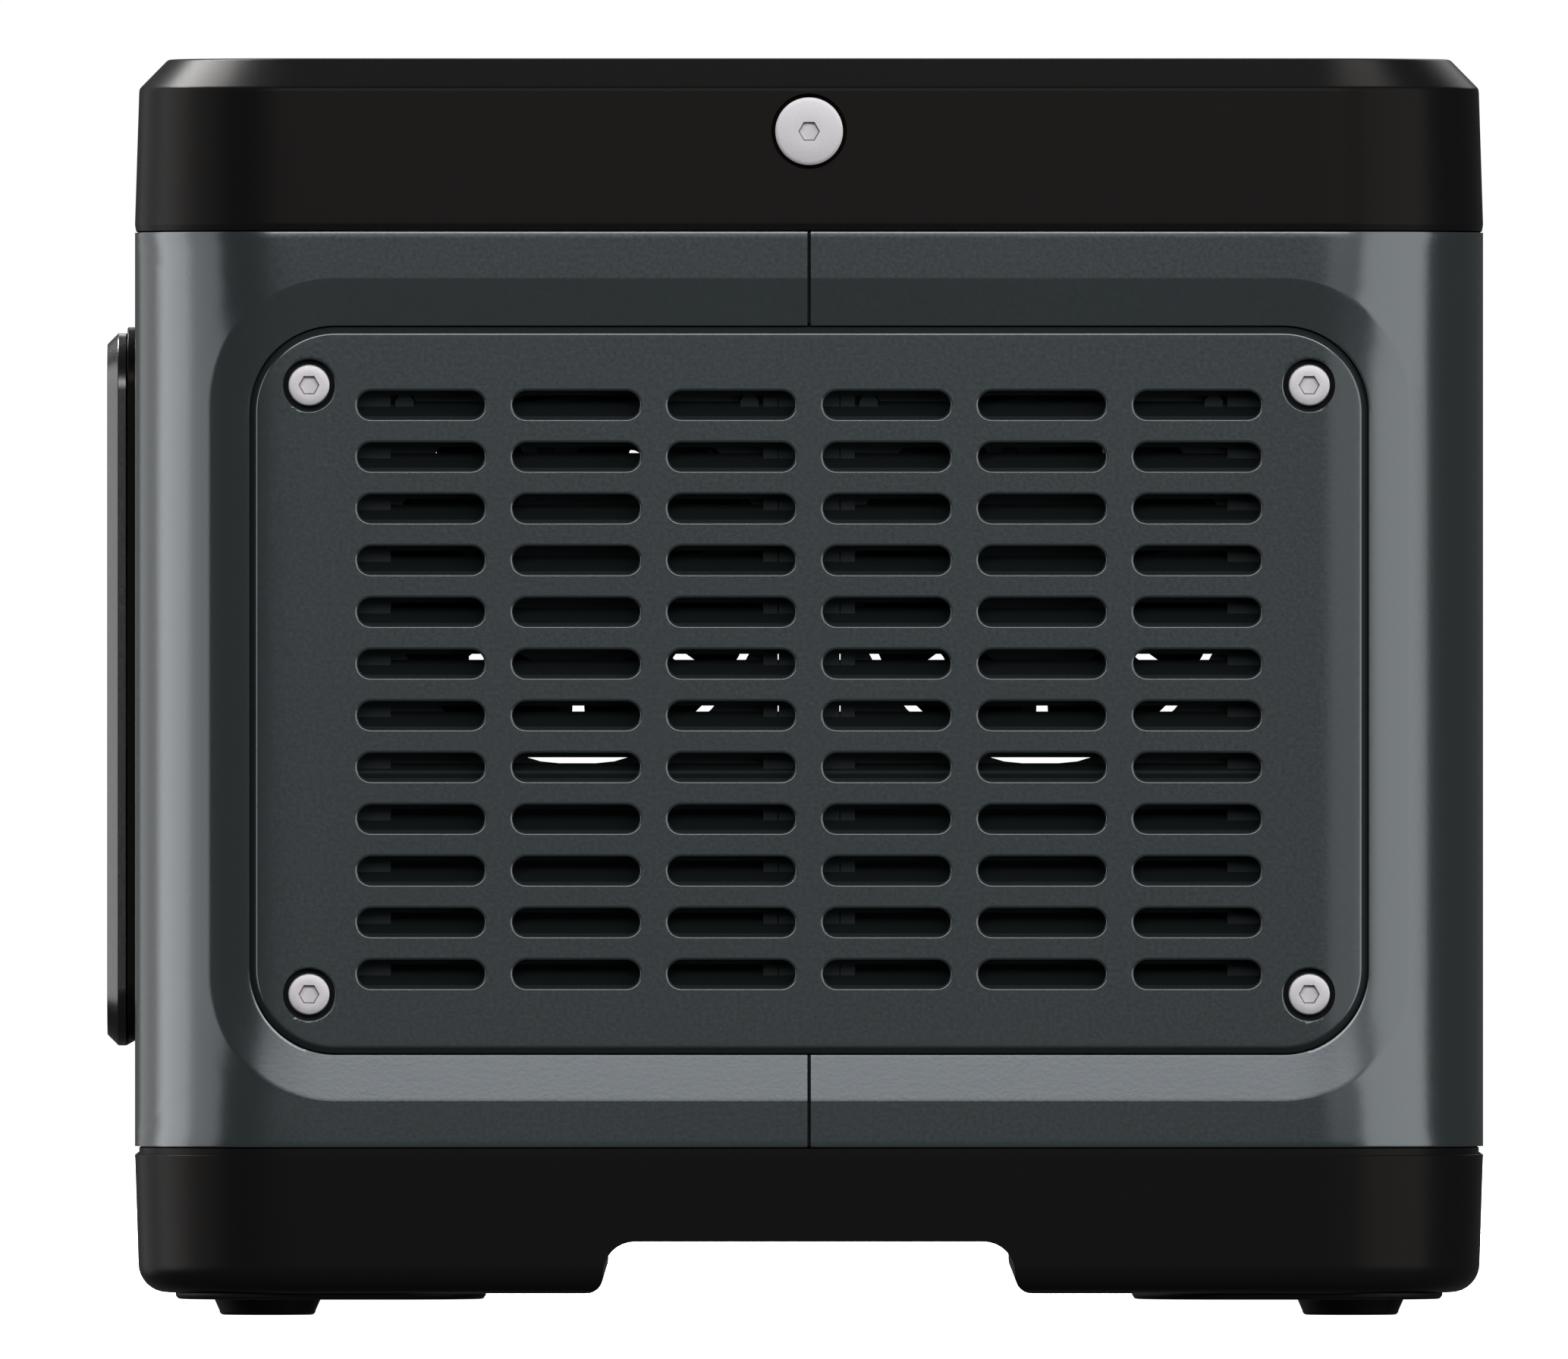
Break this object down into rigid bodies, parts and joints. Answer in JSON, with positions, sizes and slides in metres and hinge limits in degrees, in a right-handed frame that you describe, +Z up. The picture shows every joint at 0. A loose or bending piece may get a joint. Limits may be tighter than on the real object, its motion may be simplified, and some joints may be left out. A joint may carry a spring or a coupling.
{
  "type": "portable power station",
  "caption": "Box-shaped portable battery power station with slotted end vents, fold-flat carry handle, front outlet panel, covered rear inlets and rubber feet.",
  "frame": {"origin": "on the floor under the middle of the whole object's box, level with the undersides of the feet", "axes": "+X along the length to the right-hand vent end, -Y out of the front outlet panel, +Z up"},
  "size_m": [0.4, 0.286, 0.2608],
  "materials": {
    "grey_case_plastic": "fine moulded texture",
    "black_case_plastic": "fine moulded texture",
    "black_inner_plastic": "plain moulded",
    "gloss_panel": "polished",
    "display_glass": "smoked, polished",
    "button_plastic": "satin",
    "reset_plastic": "satin",
    "socket_plastic": "satin",
    "rubber": "matt",
    "nylon": "plain",
    "steel": "zinc plated",
    "cell_can": "blue film over aluminium cans",
    "sheet_aluminium": "mill",
    "circuit_board": "solder mask"
  },
  "bodies": {
    "case": {"front_shell": "grey_case_plastic", "rear_shell": "grey_case_plastic", "vent_panel_right": "grey_case_plastic", "vent_panel_left": "grey_case_plastic", "top_lid": "black_case_plastic", "handle_well": "black_case_plastic", "base_tray": "black_case_plastic", "input_bay": "black_case_plastic", "front_backplate": "black_case_plastic", "front_bezel": "black_case_plastic", "louvre_frame": "black_inner_plastic", "intake_frame": "black_inner_plastic", "fan_frame_front": "black_inner_plastic", "fan_frame_rear": "black_inner_plastic", "display_module": "black_inner_plastic", "face_plate": "gloss_panel", "display_window": "display_glass", "ac_outlet_1": "socket_plastic", "ac_outlet_2": "socket_plastic", "ac_outlet_3": "socket_plastic", "usb_ports": "socket_plastic", "car_socket": "socket_plastic", "dc_jacks": "socket_plastic", "ac_inlet": "socket_plastic", "solar_inlet": "socket_plastic", "foot_1": "rubber", "foot_2": "rubber", "foot_3": "rubber", "foot_4": "rubber", "handle_bolt_left": "steel", "handle_bolt_right": "steel", "vent_screw_left_1": "steel", "vent_screw_left_2": "steel", "vent_screw_left_3": "steel", "vent_screw_left_4": "steel", "vent_screw_right_1": "steel", "vent_screw_right_2": "steel", "vent_screw_right_3": "steel", "vent_screw_right_4": "steel", "cover_hinge_pin": "steel", "cell_block_front": "cell_can", "cell_block_rear": "cell_can", "battery_deck": "sheet_aluminium", "electronics_tray": "sheet_aluminium", "heat_sink": "sheet_aluminium", "bms_board": "circuit_board", "inverter_board": "circuit_board", "charger_board": "circuit_board", "control_board": "circuit_board"},
    "handle": {"carry_handle": "black_case_plastic", "handle_grip": "rubber", "handle_bush_left": "nylon", "handle_bush_right": "nylon"},
    "cover": {"input_cover": "black_case_plastic"},
    "power_key": {"power_button": "button_plastic"},
    "ac_key": {"ac_button": "button_plastic"},
    "dc_key": {"dc_button": "button_plastic"},
    "reset_key": {"reset_button": "reset_plastic"},
    "rotor_front": {"fan_rotor_front": "black_inner_plastic"},
    "rotor_rear": {"fan_rotor_rear": "black_inner_plastic"}
  },
  "joints": [
    {"name": "handle_lift", "type": "hinge", "parent": "case", "child": "handle", "pos_m": [0, 0.003, 0.2456], "axis": [1, 0, 0], "range_deg": [0, 90]},
    {"name": "cover_swing", "type": "hinge", "parent": "case", "child": "cover", "pos_m": [0, 0.1398, 0.198], "axis": [1, 0, 0], "range_deg": [0, 90]},
    {"name": "power_press", "type": "slide", "parent": "case", "child": "power_key", "axis": [0, 1, 0], "range_m": [0, 0.0012], "stiffness_N_per_m": 400},
    {"name": "ac_press", "type": "slide", "parent": "case", "child": "ac_key", "axis": [0, 1, 0], "range_m": [0, 0.0012], "stiffness_N_per_m": 400},
    {"name": "dc_press", "type": "slide", "parent": "case", "child": "dc_key", "axis": [0, 1, 0], "range_m": [0, 0.0012], "stiffness_N_per_m": 400},
    {"name": "reset_press", "type": "slide", "parent": "case", "child": "reset_key", "axis": [0, -1, 0], "range_m": [0, 0.0015], "stiffness_N_per_m": 400},
    {"name": "fan_spin_front", "type": "hinge", "parent": "case", "child": "rotor_front", "pos_m": [0.1774, -0.0451, 0.15345], "axis": [1, 0, 0], "continuous": true},
    {"name": "fan_spin_rear", "type": "hinge", "parent": "case", "child": "rotor_rear", "pos_m": [0.1774, 0.0511, 0.15345], "axis": [1, 0, 0], "continuous": true}
  ]
}
